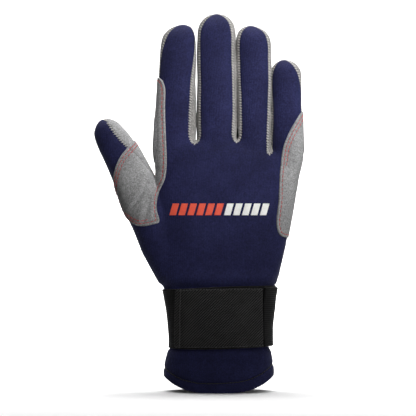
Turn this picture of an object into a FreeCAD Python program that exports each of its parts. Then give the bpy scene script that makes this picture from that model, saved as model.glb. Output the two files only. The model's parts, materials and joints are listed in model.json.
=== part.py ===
"""Right-hand sailing glove, standing upright as it is worn, cuff down and fingers up.

Frame, in millimetres: origin at the middle of the cuff's mouth, +Z towards the fingertips,
+Y out of the palm and -Y out of the back of the hand, so the thumb is on the -X side.
The glove is one hollow skin of neoprene and suede. It is drawn as a solid form at a given
offset; walls, patches, strap and print are what lies between two offsets of that form.
"""
import FreeCAD
import Part
import math
import os

V = FreeCAD.Vector

# Driving dimensions
WALL = 2.0              # neoprene or suede wall
PATCH = 1.2             # suede reinforcement laid over the wall
PRINT = 0.3             # raised print on the back
SEAM_HALF = 3.6         # half the width of the grey side strips of the fingers
KNUCKLE_Z = 150.0       # the fingers lean towards the palm above this height
LEAN = 0.0011           # how fast they lean, per mm
HAND_TOP = 162.0        # height of the crotches between the fingers
SIDES_FROM = 156.0      # where the side strips between back and palm begin
CUFF_JOIN = 50.0        # where the hand panels end, under the strap
HEM = 6.0               # height of the cuff's turned hem
HINGE_GAP = 0.3         # slot in the back of a finger at a joint
HINGE_MARGIN = 2.0      # degrees kept free on the palm side when a joint is fully bent
HINGE_DEPTH = 0.25      # how far a joint's axis lies palmward, as a share of the half depth
MIDDLE_BEND = 90.0      # degrees at a finger's middle joint
TIP_BEND = 54.0         # degrees at a finger's end joint
THUMB_BEND = 60.0       # degrees at the thumb's end joint
FAR = 120.0             # reach of the cutting shapes
TOP_Z = 300.0           # above every fingertip
SECTION_POINTS = 20     # points on each section's curve
HAND_POWER = 2.5        # squareness of the sections: 2 is an ellipse
FINGER_POWER = 2.3
THUMB_POWER = 2.2
TIP_ANGLES = (8, 30, 50, 68, 82)
CAVITY_BELOW = 20.0     # the cavity runs on this far below the cuff, so that its mouth is open
SMALLEST_PIECE = 0.5    # mm3; anything smaller is a crumb of a cut

STRAP_LOW = 29.3
STRAP_HIGH = 69.3
BAND_THICK = 1.2
LOOP_THICK = 0.8
TAB_SLOT = 0.2          # between the hook and loop faces
HOOK_THICK = 0.7
TAB_THICK = 1.1
TAB_LEFT = -28.3
TAB_RIGHT = 29.4
TAB_ROOT = 7.0          # the tab is sewn to the band over this length
ROOT_GAP = 2.3          # clear of the tab's end as it peels
TAPE_INSET = 1.5        # hook and loop tapes stop this far inside the tab's edges

# Hand sections: height, left edge, right edge, half depth
HAND = [
    (-6.0, -36.8, 35.9, 18.2),
    (14.0, -37.4, 36.0, 18.4),
    (30.0, -33.6, 34.0, 17.4),
    (50.0, -32.8, 34.2, 16.8),
    (69.0, -36.6, 36.6, 16.8),
    (88.0, -41.0, 41.6, 16.4),
    (115.0, -43.4, 47.4, 15.6),
    (140.0, -43.4, 52.6, 14.4),
    (HAND_TOP - 5, -43.0, 54.8, 12.4),
    (HAND_TOP, -41.0, 53.0, 10.0),
]

# Fingers: lane edges, edges at the crotch, edges at the shoulder of the tip,
# middle and height of the tip, half depths, heights of the middle and end joints
FINGERS = {
    "index": dict(lane=(-60.0, -15.5), root=(-42.2, -16.2), end=(-35.8, -15.9), tip=(-24.2, 244.0),
                  depth=(9.6, 8.0), joints=(187.0, 214.5)),
    "middle": dict(lane=(-15.5, 11.8), root=(-14.6, 11.4), end=(-14.4, 9.6), tip=(-2.2, 251.0),
                   depth=(9.8, 8.2), joints=(190.0, 219.5)),
    "ring": dict(lane=(11.8, 33.6), root=(12.2, 33.2), end=(13.2, 33.4), tip=(20.4, 243.0),
                 depth=(9.3, 7.8), joints=(187.0, 213.5)),
    "little": dict(lane=(33.6, 80.0), root=(34.0, 54.6), end=(34.8, 53.0), tip=(43.2, 220.8),
                   depth=(8.6, 7.2), joints=(177.0, 198.0)),
}

# Thumb sections: middle (x, y, z), half width, half depth
THUMB = [
    ((-28.5, 1.0, 77.0), 13.0, 12.0),
    ((-38.5, 1.5, 101.5), 15.0, 12.8),
    ((-47.5, 2.5, 121.5), 15.6, 12.4),
    ((-55.5, 3.5, 135.5), 14.2, 11.6),
    ((-65.0, 4.5, 154.5), 12.2, 10.4),
    ((-71.0, 5.0, 166.2), 10.4, 9.4),
    ((-75.2, 5.2, 173.4), 8.2, 7.6),
    ((-78.0, 5.3, 178.0), 4.6, 4.4),
]
THUMB_TIP_LINE = (-0.504, 0.0, 0.864)
THUMB_PIVOT = (-67.8, 4.6, 159.2)
THUMB_REACH = 17.0      # clear of the thumb's skin on every side of its joint
THUMB_LENGTH = 40.0     # past the thumb's tip

HEM_ARC = ((-60.0, 25.5), (-1.0, 0.0), (60.0, 28.0))

# Outlines of the wear patches, seen from the front
WEB_PATCH = [
    (-62.0, 116.3), (-56.9, 111.2), (-50.8, 109.8), (-44.6, 111.2), (-40.1, 112.7),
    (-41.3, 131.6), (-36.5, 140.8), (-36.0, 164.2), (-36.5, 203.0), (-39.5, 208.5),
    (-50.0, 203.0), (-52.0, 160.0), (-46.0, 146.0), (-53.0, 152.0), (-61.5, 161.6),
    (-66.1, 156.0), (-69.6, 147.9), (-72.0, 138.0), (-68.0, 122.0),
]
WEB_CUT_Z = 146.0       # below this height the web patch stops just past the side of the hand
WEB_CUT_DEPTH = 2.0
LITTLE_PATCH = [
    (57.0, 186.0), (54.1, 184.6), (47.0, 172.4), (42.9, 162.2), (40.8, 148.9), (39.8, 136.7),
    (38.8, 126.5), (37.5, 116.3), (37.6, 109.1), (39.8, 104.0), (47.0, 101.5), (62.0, 110.0),
    (66.0, 150.0),
]
PALM_PATCHES = {
    "palm_patch_heel": [
        (-34.0, 84.0), (-8.0, 78.0), (22.0, 80.0), (37.0, 92.0), (36.0, 112.0), (8.0, 118.0),
        (-22.0, 112.0),
    ],
    "palm_patch_knuckle": [
        (-30.0, 132.0), (0.0, 128.0), (36.0, 130.0), (46.0, 142.0), (38.0, 152.0), (2.0, 155.0),
        (-30.0, 153.0),
    ],
}

# Slanted bars of the print: name, left end of the row, how many
PRINT_ROWS = (("print_coral", -33.4, 6), ("print_white", 2.6, 5))
BAR_LOW = 117.2
BAR_HIGH = 125.0
BAR_WIDTH = 4.4
BAR_GAP = 1.5
BAR_SLANT = 2.2


def lean(z):
    """How far the middle of the skin has moved towards the palm at height z."""
    return LEAN * max(0.0, z - KNUCKLE_Z) ** 2


def lean_slope(z):
    return 2 * LEAN * max(0.0, z - KNUCKLE_Z)


def ring(middle, across, depthward, half_width, half_depth, power):
    """Closed smooth superellipse, the section of a stuffed fabric tube."""
    points = []
    for i in range(SECTION_POINTS):
        angle = 2 * math.pi * i / SECTION_POINTS
        c = math.cos(angle)
        s = math.sin(angle)
        a = half_width * math.copysign(abs(c) ** (2 / power), c)
        b = half_depth * math.copysign(abs(s) ** (2 / power), s)
        points.append(middle + across * a + depthward * b)
    curve = Part.BSplineCurve()
    curve.interpolate(Points=points, PeriodicFlag=True)
    return Part.Wire([curve.toShape()])


def hand_form(offset, bottom=0.0):
    """The hand and wrist, without fingers or thumb, grown by offset."""
    wires = []
    for z, left, right, depth in HAND:
        height = z
        if z > SIDES_FROM:
            height = z + offset
        if z < 0:
            height = z - bottom
        middle = V((left + right) / 2, lean(z), height)
        half_width = (right - left) / 2 + offset
        wires.append(ring(middle, V(1, 0, 0), V(0, 1, 0), half_width, depth + offset, HAND_POWER))
    return Part.makeLoft(wires, True, True)


def finger_form(finger, offset):
    """One finger, from inside the hand up to its rounded tip, grown by offset."""
    tip_x, tip_z = finger["tip"]
    root_left, root_right = finger["root"]
    end_left, end_right = finger["end"]
    root_depth, end_depth = finger["depth"]
    radius = (end_right - end_left) / 2
    shoulder = tip_z - radius
    wires = []
    for z in (HAND_TOP - 20, HAND_TOP + 6, (HAND_TOP + shoulder) / 2, shoulder - 8):
        share = max(0.0, (z - HAND_TOP) / (shoulder - HAND_TOP))
        left = root_left + (end_left - root_left) * share
        right = root_right + (end_right - root_right) * share
        depth = root_depth + (end_depth - root_depth) * share
        middle = V((left + right) / 2, lean(z), z)
        wires.append(ring(middle, V(1, 0, 0), V(0, 1, 0), (right - left) / 2 + offset, depth + offset,
                          FINGER_POWER))
    for angle in TIP_ANGLES:
        turn = math.radians(angle)
        share = math.cos(turn) ** 0.75
        z = shoulder + radius * math.sin(turn)
        x = (end_left + end_right) / 2 + (tip_x - (end_left + end_right) / 2) * math.sin(turn) ** 2
        middle = V(x, lean(z), z + offset * math.sin(turn))
        wires.append(ring(middle, V(1, 0, 0), V(0, 1, 0), radius * share + offset,
                          end_depth * share + offset, FINGER_POWER))
    return Part.makeLoft(wires, True, True)


def thumb_form(offset):
    """The thumb, from inside the hand up to its rounded tip, grown by offset."""
    wires = []
    count = len(THUMB)
    for i, (middle, half_width, half_depth) in enumerate(THUMB):
        before = V(*THUMB[max(i - 1, 0)][0])
        after = V(*THUMB[min(i + 1, count - 1)][0])
        along = (after - before).normalize()
        across = V(along.z, 0, -along.x).normalize()
        depthward = along.cross(across) * -1
        centre = V(*middle)
        if i == count - 1:
            centre = centre + along * offset
        wires.append(ring(centre, across, depthward, half_width + offset, half_depth + offset,
                          THUMB_POWER))
    return Part.makeLoft(wires, True, True)


def glove_form(offset, bottom=0.0):
    """The whole glove as one solid, grown by offset."""
    form = hand_form(offset, bottom).fuse(thumb_form(offset))
    for finger in FINGERS.values():
        form = form.fuse(finger_form(finger, offset))
    return form


def prism_xz(points, low_y=-FAR, high_y=FAR):
    """Straight-edged outline seen from the front, extruded through the glove's depth."""
    corners = [V(x, low_y, z) for x, z in points]
    face = Part.Face(Part.makePolygon(corners + corners[:1]))
    return face.extrude(V(0, high_y - low_y, 0))


def smooth_prism_xz(points):
    """Smooth closed outline seen from the front, extruded through the glove's depth."""
    curve = Part.BSplineCurve()
    curve.interpolate(Points=[V(x, -FAR, z) for x, z in points], PeriodicFlag=True)
    return Part.Face(Part.Wire([curve.toShape()])).extrude(V(0, 2 * FAR, 0))


def prism_yz(points, low_x, high_x):
    """Outline seen from the side, extruded across the glove's width."""
    corners = [V(low_x, y, z) for y, z in points]
    face = Part.Face(Part.makePolygon(corners + corners[:1]))
    return face.extrude(V(high_x - low_x, 0, 0))


def seam_line(side):
    """Height by height, the line where the back (-1) or palm (+1) panel meets the side strips."""
    line = [(0.0, -10.0), (0.0, SIDES_FROM)]
    for z in range(int(HAND_TOP), 262, 10):
        line.append((lean(z) + side * SEAM_HALF, z))
    return line


def layer(side):
    """Everything behind (-1) or in front of (+1) that line."""
    line = seam_line(side)
    return prism_yz(line + [(side * FAR, line[-1][1]), (side * FAR, line[0][1])], -FAR, FAR)


def joint_frame(finger, height):
    """Pivot and direction of a finger joint."""
    share = (height - HAND_TOP) / (finger["tip"][1] - HAND_TOP)
    depth = finger["depth"][0] + (finger["depth"][1] - finger["depth"][0]) * share
    pivot = V(0, lean(height) + HINGE_DEPTH * depth, height)
    along = V(0, lean_slope(height), 1).normalize()
    return pivot, along


def wedge_side(pivot, along, bend, way):
    """The face that a joint leaves on its lower (-1) or upper (+1) side, as three points in YZ."""
    palmward = V(0, along.z, -along.y)
    flare = math.tan(math.radians(bend / 2 + HINGE_MARGIN))
    gap = along * (way * HINGE_GAP / 2)
    back = pivot + gap - palmward * FAR
    middle = pivot + gap
    palm = middle + palmward * (FAR / 3) + along * (way * flare * FAR / 3)
    return [(p.y, p.z) for p in (back, middle, palm)]


def finger_zones(finger):
    """Zones of space that hold a finger's middle length, its end, and both with their joints."""
    low_x, high_x = finger["lane"]
    middle_pivot, middle_along = joint_frame(finger, finger["joints"][0])
    end_pivot, end_along = joint_frame(finger, finger["joints"][1])
    low_root = wedge_side(middle_pivot, middle_along, MIDDLE_BEND, -1)
    low = wedge_side(middle_pivot, middle_along, MIDDLE_BEND, 1)
    high = wedge_side(end_pivot, end_along, TIP_BEND, -1)
    tip = wedge_side(end_pivot, end_along, TIP_BEND, 1)
    above = [(FAR, TOP_Z), (-FAR, TOP_Z)]
    lower_zone = prism_yz(low + high[::-1], low_x, high_x)
    tip_zone = prism_yz(tip + above, low_x, high_x)
    all_zone = prism_yz(low_root + above, low_x, high_x)
    return lower_zone, tip_zone, all_zone


def thumb_frame():
    """Pivot, direction, pad direction and axis of the thumb's joint."""
    along = V(*THUMB_TIP_LINE).normalize()
    across = V(along.z, 0, -along.x)
    pad = (across + V(0, 1, 0)).normalize()
    return V(*THUMB_PIVOT), along, pad, along.cross(pad)


def thumb_prism(points):
    """Outline in the plane of the thumb's bending, extruded along its joint's axis."""
    pivot, along, pad, axis = thumb_frame()
    corners = [pivot + along * u + pad * w - axis * THUMB_REACH for u, w in points]
    face = Part.Face(Part.makePolygon(corners + corners[:1]))
    return face.extrude(axis * (2 * THUMB_REACH))


def thumb_zone(gap, flare):
    """What lies past the thumb's joint, with a slot of gap and a wedge of flare on the pad side."""
    return thumb_prism([(gap, -THUMB_REACH), (gap, 0), (gap + flare, THUMB_REACH),
                        (THUMB_LENGTH, THUMB_REACH), (THUMB_LENGTH, -THUMB_REACH)])


def hem_line(rise):
    """Region above the cuff's curved lower edge, moved up by rise."""
    left, low, right = [V(x, -FAR, z + rise) for x, z in HEM_ARC]
    outline = [right, V(FAR, -FAR, right.z), V(FAR, -FAR, TOP_Z), V(-FAR, -FAR, TOP_Z),
               V(-FAR, -FAR, left.z), left]
    edges = [Part.Arc(left, low, right).toShape()]
    edges += [Part.makeLine(a, b) for a, b in zip(outline, outline[1:])]
    return Part.Face(Part.Wire(edges)).extrude(V(0, 2 * FAR, 0))


def slab(low_z, high_z, low_x=-FAR, high_x=FAR, low_y=-FAR, high_y=FAR):
    """A level slice of space, cut off at the sides where limits are given."""
    return Part.makeBox(high_x - low_x, high_y - low_y, high_z - low_z, V(low_x, low_y, low_z))


def strap_layer(low, high, left=-FAR, right=FAR, low_z=STRAP_LOW, high_z=STRAP_HIGH, back_only=False):
    """What lies between two offsets of the wrist over the strap's height."""
    zone = slab(low_z, high_z, left, right, -FAR, 0.0 if back_only else FAR)
    return hand_form(high).common(zone).cut(hand_form(low))


def print_bars():
    """Plain slanted bars across the back, a coral row and a white row."""
    rows = {}
    for name, start, count in PRINT_ROWS:
        bars = []
        for i in range(count):
            x = start + i * (BAR_WIDTH + BAR_GAP)
            corners = [(x, BAR_LOW), (x + BAR_WIDTH, BAR_LOW), (x + BAR_WIDTH + BAR_SLANT, BAR_HIGH),
                       (x + BAR_SLANT, BAR_HIGH)]
            bars.append(prism_xz(corners, -FAR, 0))
        rows[name] = bars
    return rows


def skin_panels(skin):
    """The hand and finger skin as a navy back, a suede palm and the side strips between them."""
    hand = skin.common(slab(CUFF_JOIN, TOP_Z))
    sides = skin.common(slab(SIDES_FROM, TOP_Z))
    return {
        "back": hand.common(layer(-1)),
        "palm": hand.common(layer(1)),
        "side": sides.cut(layer(-1)).cut(layer(1)),
    }


def patches(outer):
    """The wear patches laid on the skin, each cut clear of the others."""
    raised = glove_form(PATCH).cut(outer)
    web = raised.common(smooth_prism_xz(WEB_PATCH))
    web = web.cut(slab(0.0, WEB_CUT_Z, low_y=WEB_CUT_DEPTH))
    little = raised.common(smooth_prism_xz(LITTLE_PATCH))
    found = {"web_patch": web, "little_patch": little}
    palm_side = slab(0.0, TOP_Z, low_y=0.0)
    for name, outline in PALM_PATCHES.items():
        patch = raised.common(smooth_prism_xz(outline)).common(palm_side)
        found[name] = patch.cut(web).cut(little)
    return found


def strap():
    """The band round the wrist and what is sewn or stuck to its back."""
    loop_top = BAND_THICK + LOOP_THICK
    hook_low = loop_top + TAB_SLOT
    tab_low = hook_low + HOOK_THICK
    tape = dict(left=TAB_LEFT + TAPE_INSET, right=TAB_RIGHT - TAB_ROOT, low_z=STRAP_LOW + TAPE_INSET,
                high_z=STRAP_HIGH - TAPE_INSET, back_only=True)
    return {
        "strap_band": strap_layer(0.0, BAND_THICK),
        "loop_tape": strap_layer(BAND_THICK, loop_top, **tape),
        "hook_tape": strap_layer(hook_low, tab_low, **tape),
        "strap_tab": strap_layer(tab_low, tab_low + TAB_THICK, TAB_LEFT, TAB_RIGHT, back_only=True),
        "strap_root": strap_layer(BAND_THICK, tab_low, TAB_RIGHT + ROOT_GAP, TAB_RIGHT + TAB_ROOT,
                                  back_only=True),
    }


def build():
    """Every piece of the glove, by name."""
    outer = glove_form(0.0).common(hem_line(0.0))
    skin = outer.cut(glove_form(-WALL, bottom=CAVITY_BELOW))
    cuff = skin.common(slab(-CAVITY_BELOW, CUFF_JOIN))
    parts = {"cuff_hem": cuff.cut(hem_line(HEM)), "cuff_sleeve": cuff.common(hem_line(HEM))}
    parts.update(strap())
    for name, bars in print_bars().items():
        form = glove_form(PRINT)
        parts[name] = Part.makeCompound([form.common(bar).cut(outer) for bar in bars])

    panels = skin_panels(skin)
    overlays = patches(outer)
    hand_panels = dict(panels)
    for name, finger in FINGERS.items():
        lower_zone, tip_zone, all_zone = finger_zones(finger)
        for panel, shape in panels.items():
            parts[f"{name}_{panel}_lower"] = shape.common(lower_zone)
            parts[f"{name}_{panel}_tip"] = shape.common(tip_zone)
            hand_panels[panel] = hand_panels[panel].cut(all_zone)
        for overlay in ("web_patch", "little_patch"):
            piece = overlays[overlay].common(lower_zone)
            if piece.Volume > 1:
                parts[f"{name}_patch_lower"] = piece
            overlays[overlay] = overlays[overlay].cut(all_zone)

    half = HINGE_GAP / 2
    flare = math.tan(math.radians(THUMB_BEND / 2 + HINGE_MARGIN)) * THUMB_REACH
    thumb_skin = skin.common(thumb_zone(half, flare))
    length, reach = THUMB_LENGTH, THUMB_REACH
    parts["thumb_back"] = thumb_skin.common(thumb_prism([(-length, -reach), (-length, 0), (length, 0),
                                                         (length, -reach)]))
    parts["thumb_front"] = thumb_skin.common(thumb_prism([(-length, 0), (-length, reach), (length, reach),
                                                          (length, 0)]))
    thumb_all = thumb_zone(-half, -flare)
    parts["back_panel"] = hand_panels["back"].cut(thumb_all)
    parts["palm_panel"] = hand_panels["palm"].cut(thumb_all)
    parts["finger_gussets"] = hand_panels["side"].cut(thumb_all)
    for overlay, shape in overlays.items():
        parts[overlay] = shape.cut(thumb_all)
    return parts


def main():
    os.makedirs("parts", exist_ok=True)
    for name, shape in build().items():
        solids = [solid for solid in shape.Solids if solid.Volume > SMALLEST_PIECE]
        shape = solids[0] if len(solids) == 1 else Part.makeCompound(solids)
        shape.exportStep(f"parts/{name}.step")
        print(f"{name}: {len(solids)} solids, valid {shape.isValid()}, {shape.Volume:.0f} mm3")


main()
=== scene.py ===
"""Looks of a right-hand sailing glove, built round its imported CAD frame.

Lengths here are millimetres in the row frame (+Z to the fingertips, -Y out of the back of the hand)
and become metres when a mesh is made. The glove's skin is one fine mesh, and every panel, patch and
print is cut from it along the level lines of a distance field, so neighbours share their edges.
"""
import bpy
import json
import math
import numpy as np
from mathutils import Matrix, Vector
from mathutils.bvhtree import BVHTree
from mathutils.kdtree import KDTree


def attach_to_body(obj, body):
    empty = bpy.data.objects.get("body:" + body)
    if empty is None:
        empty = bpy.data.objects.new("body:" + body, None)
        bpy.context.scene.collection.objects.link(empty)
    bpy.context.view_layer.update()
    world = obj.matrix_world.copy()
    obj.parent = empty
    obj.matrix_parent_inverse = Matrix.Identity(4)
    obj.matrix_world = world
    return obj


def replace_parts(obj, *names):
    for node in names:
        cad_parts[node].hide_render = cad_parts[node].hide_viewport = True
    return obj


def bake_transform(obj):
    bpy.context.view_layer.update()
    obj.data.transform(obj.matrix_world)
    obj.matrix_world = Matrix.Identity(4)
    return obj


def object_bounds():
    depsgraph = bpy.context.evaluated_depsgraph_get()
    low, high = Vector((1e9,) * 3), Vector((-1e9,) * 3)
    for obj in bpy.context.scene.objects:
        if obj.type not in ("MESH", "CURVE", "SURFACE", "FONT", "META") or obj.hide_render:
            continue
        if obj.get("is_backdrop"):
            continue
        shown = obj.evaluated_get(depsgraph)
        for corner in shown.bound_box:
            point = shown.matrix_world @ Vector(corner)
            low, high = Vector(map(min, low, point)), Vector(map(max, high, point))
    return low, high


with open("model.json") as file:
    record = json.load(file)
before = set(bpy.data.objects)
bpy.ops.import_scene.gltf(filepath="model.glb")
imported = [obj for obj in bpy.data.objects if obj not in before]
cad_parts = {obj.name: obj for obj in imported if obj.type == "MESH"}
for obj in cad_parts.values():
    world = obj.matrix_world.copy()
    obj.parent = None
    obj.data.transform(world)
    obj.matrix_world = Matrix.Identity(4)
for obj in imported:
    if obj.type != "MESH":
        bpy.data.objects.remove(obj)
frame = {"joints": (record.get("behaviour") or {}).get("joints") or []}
cad_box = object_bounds()
MM = 0.001

# ---------------------------------------------------------------- sizes
SHRINK = 1.5            # the rough form is this much smaller, so that close fingers stay apart
VOXEL = 1.15            # its remesh size
WALL = 2.0
PATCH_RISE = 0.95       # how far a patch stands over the panel under it
PRINT_RISE = 0.35
KNUCKLE_Z = 150.0       # above this the fingers lean towards the palm
LEAN = 0.0011
CROTCH_Z = 164.0
THUMB_SIDE_X = -46.0    # cloth further left is the thumb's
THUMB_CLEAR_Z = 146.0   # above this the thumb stands clear of the hand
HEM_MIDDLE, HEM_REACH, HEM_RISE = -1.0, 37.0, 11.0
OUTSIDE = -20.0         # the value of a field well away from its region


def joint(name):
    """A joint of the frame, with its pivot in millimetres."""
    found = next(j for j in frame["joints"] if j["name"] == name)
    return Vector(found["pos_m"]) / MM


# ---------------------------------------------------------------- curves and fields
def lean(z):
    """How far the skin's middle has moved towards the palm at height z."""
    return LEAN * np.maximum(0.0, np.asarray(z, float) - KNUCKLE_Z) ** 2


def eased(at, knots, values):
    """Smooth curve through values at knots, without overshoot (monotone cubic)."""
    knots, values = np.asarray(knots, float), np.asarray(values, float)
    h = np.diff(knots)
    slope = np.diff(values) / h
    grad = np.zeros(len(knots))
    grad[0], grad[-1] = slope[0], slope[-1]
    for i in range(1, len(knots) - 1):
        if slope[i - 1] * slope[i] > 0:
            a, b = 2 * h[i] + h[i - 1], h[i] + 2 * h[i - 1]
            grad[i] = (a + b) / (a / slope[i - 1] + b / slope[i])
    at = np.clip(np.asarray(at, float), knots[0], knots[-1])
    i = np.clip(np.searchsorted(knots, at) - 1, 0, len(h) - 1)
    t = (at - knots[i]) / h[i]
    return ((2 * t**3 - 3 * t**2 + 1) * values[i] + (t**3 - 2 * t**2 + t) * h[i] * grad[i]
            + (3 * t**2 - 2 * t**3) * values[i + 1] + (t**3 - t**2) * h[i] * grad[i + 1])


def step(x, low, high):
    """0 below low, 1 above high, smooth between."""
    t = np.clip((np.asarray(x, float) - low) / (high - low), 0, 1)
    return t * t * (3 - 2 * t)


def bell(x, middle, width):
    """1 at the middle, falling away on both sides."""
    return np.exp(-(((x - middle) / width) ** 2))


def unit(vectors):
    """The same directions with length 1."""
    return vectors / (np.linalg.norm(vectors, axis=-1, keepdims=True) + 1e-9)


def joined(parts):
    """One set of points and faces from several."""
    points, faces, start = [], [], 0
    for some, pattern in parts:
        points.append(some)
        faces += [tuple(i + start for i in face) for face in pattern]
        start += len(some)
    return np.concatenate(points), faces


def rounded(points, per=8):
    """Closed smooth outline through a few points (centripetal Catmull-Rom)."""
    p = np.asarray(points, float)
    n = len(p)
    out = []
    for i in range(n):
        a, b, c, d = (p[(i + k) % n] for k in (-1, 0, 1, 2))
        ta = 0.0
        tb = ta + np.linalg.norm(b - a) ** 0.5
        tc = tb + np.linalg.norm(c - b) ** 0.5
        td = tc + np.linalg.norm(d - c) ** 0.5
        for t in np.linspace(tb, tc, per, endpoint=False):
            ab = a * (tb - t) / (tb - ta) + b * (t - ta) / (tb - ta)
            bc = b * (tc - t) / (tc - tb) + c * (t - tb) / (tc - tb)
            cd = c * (td - t) / (td - tc) + d * (t - tc) / (td - tc)
            abc = ab * (tc - t) / (tc - ta) + bc * (t - ta) / (tc - ta)
            bcd = bc * (td - t) / (td - tb) + cd * (t - tb) / (td - tb)
            out.append(abc * (tc - t) / (tc - tb) + bcd * (t - tb) / (tc - tb))
    return np.array(out)


def inside_distance(x, z, outline):
    """Signed distance to a closed outline seen from the front, positive inside."""
    a = np.asarray(outline, float)
    b = np.roll(a, -1, axis=0)
    best = np.full(len(x), 1e9)
    inside = np.zeros(len(x), bool)
    for (ax, az), (bx, bz) in zip(a, b):
        dx, dz = bx - ax, bz - az
        t = np.clip(((x - ax) * dx + (z - az) * dz) / (dx * dx + dz * dz + 1e-12), 0, 1)
        best = np.minimum(best, (x - ax - t * dx) ** 2 + (z - az - t * dz) ** 2)
        if az != bz:
            crosses = ((az > z) != (bz > z)) & (x < (bx - ax) * (z - az) / (bz - az) + ax)
            inside ^= crosses
    return np.where(inside, 1, -1) * np.sqrt(best)


# ---------------------------------------------------------------- the skin's form
# Hand sections: height, left edge, right edge, half depth
HAND = [
    (-12.0, -36.9, 36.0, 18.4),
    (8.0, -37.5, 36.2, 18.5),
    (14.0, -37.7, 36.2, 18.3),
    (22.0, -36.2, 35.2, 17.8),
    (30.0, -34.2, 34.2, 17.3),
    (44.0, -34.9, 34.3, 16.8),
    (52.0, -36.0, 34.8, 16.6),
    (60.0, -37.4, 35.6, 16.7),
    (69.0, -38.6, 37.0, 16.8),
    (88.0, -41.0, 42.4, 16.6),
    (115.0, -42.0, 47.4, 15.6),
    (140.0, -42.4, 51.8, 14.2),
    (154.0, -42.4, 53.2, 12.6),
    (157.5, -42.0, 46.0, 12.0),
    (160.0, -42.0, 31.0, 11.4),
    (165.6, -41.0, 29.0, 9.0),
]
# Fingers: left and right edges at the crotch and at the tip's shoulder, the middle of the tip, its
# height, and the half depths at the crotch and the tip
FINGERS = {
    "index": dict(root=(-44.2, -15.8), end=(-39.3, -15.6), tip=-24.0, top=245.6, depth=(9.8, 8.0)),
    "middle": dict(root=(-15.4, 12.4), end=(-15.4, 10.7), tip=-2.0, top=253.0, depth=(10.0, 8.2)),
    "ring": dict(root=(11.0, 35.0), end=(10.7, 34.9), tip=20.4, top=244.5, depth=(9.5, 7.8)),
    "little": dict(root=(33.9, 55.4), end=(33.9, 55.0), tip=43.5, top=221.8, depth=(8.8, 7.2)),
}
# Thumb sections: middle (x, y, z), half width, half depth
THUMB = [
    ((-28.0, 1.0, 74.0), 12.0, 11.0),
    ((-38.2, 1.5, 99.5), 15.6, 12.8),
    ((-46.5, 2.5, 119.5), 15.6, 12.6),
    ((-54.7, 3.5, 134.5), 14.2, 11.6),
    ((-63.4, 4.5, 153.0), 12.4, 10.4),
    ((-70.5, 5.0, 165.5), 11.6, 9.4),
    ((-74.8, 5.2, 172.6), 10.3, 8.2),
    ((-77.8, 5.3, 177.3), 7.4, 6.2),
    ((-79.4, 5.3, 179.8), 2.6, 2.4),
]
RING_POINTS = 64
RING_STEP = 1.5
ROOT_DEPTH = 22.0       # how far a finger's form starts inside the hand
HAND_POWER, FINGER_POWER, THUMB_POWER = 2.5, 2.3, 2.2   # 2 is an ellipse, more is squarer
THUMB_RINGS = 60
ROOT_TAPER = 0.0075     # how fast a finger narrows inside the hand
TIP_POWER = 0.95        # 1 is a round fingertip, less is a squarer one


def ring_points(middle, across, depthward, half_width, half_depth, power):
    """One section of a form, a rounded oblong SHRINK smaller than the sizes given."""
    half_width, half_depth = half_width - SHRINK, half_depth - SHRINK
    angle = np.linspace(0, 2 * math.pi, RING_POINTS, endpoint=False)
    c, s = np.cos(angle), np.sin(angle)
    a = half_width * np.sign(c) * np.abs(c) ** (2 / power)
    b = half_depth * np.sign(s) * np.abs(s) ** (2 / power)
    return np.asarray(middle) + np.outer(a, across) + np.outer(b, depthward)


def level_ring(left, right, z, half_depth, power):
    """A flat section at height z, between two edges."""
    return ring_points(((left + right) / 2, float(lean(z)), z), (1, 0, 0), (0, 1, 0), (right - left) / 2,
                       half_depth, power)


def tube(rings):
    """Points and faces of a closed tube through rings of points, with a cap at each end."""
    n = len(rings[0])
    faces = [(r + i, r + (i + 1) % n, r + n + (i + 1) % n, r + n + i)
             for r in range(0, (len(rings) - 1) * n, n) for i in range(n)]
    last = (len(rings) - 1) * n
    return np.concatenate(rings), faces + [tuple(range(n))[::-1], tuple(range(last, last + n))]


def hand_tube():
    rows = np.array(HAND)
    rings = []
    for z in np.arange(rows[0, 0], rows[-1, 0] + 0.01, RING_STEP):
        left, right, depth = (float(eased(z, rows[:, 0], rows[:, k])) for k in (1, 2, 3))
        rings.append(level_ring(left, right, z, depth, HAND_POWER))
    return tube(rings)


def finger_tube(f):
    """A finger's form: straight sides up to the tip's shoulder, then a rounded tip."""
    radius = (f["end"][1] - f["end"][0]) / 2
    shoulder = f["top"] - radius * 1.02
    rings = []
    for z in np.arange(CROTCH_Z - ROOT_DEPTH, shoulder, RING_STEP):
        share = max(0.0, (z - CROTCH_Z) / (shoulder - CROTCH_Z))
        sunk = ROOT_TAPER * max(0.0, CROTCH_Z - z) ** 2
        left = f["root"][0] + (f["end"][0] - f["root"][0]) * share + sunk
        right = f["root"][1] + (f["end"][1] - f["root"][1]) * share - sunk
        depth = f["depth"][0] + (f["depth"][1] - f["depth"][0]) * share
        rings.append(level_ring(left, right, z, depth, FINGER_POWER))
    middle = sum(f["end"]) / 2
    for angle in np.radians(np.linspace(4, 89, 14)):
        share = math.cos(angle) ** TIP_POWER
        z = shoulder + (f["top"] - shoulder - SHRINK) * math.sin(angle)
        x = middle + (f["tip"] - middle) * math.sin(angle) ** 2
        half_width, half_depth = ((size - SHRINK) * share + SHRINK for size in (radius, f["depth"][1]))
        rings.append(level_ring(x - half_width, x + half_width, z, half_depth, FINGER_POWER))
    return tube(rings)


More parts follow.
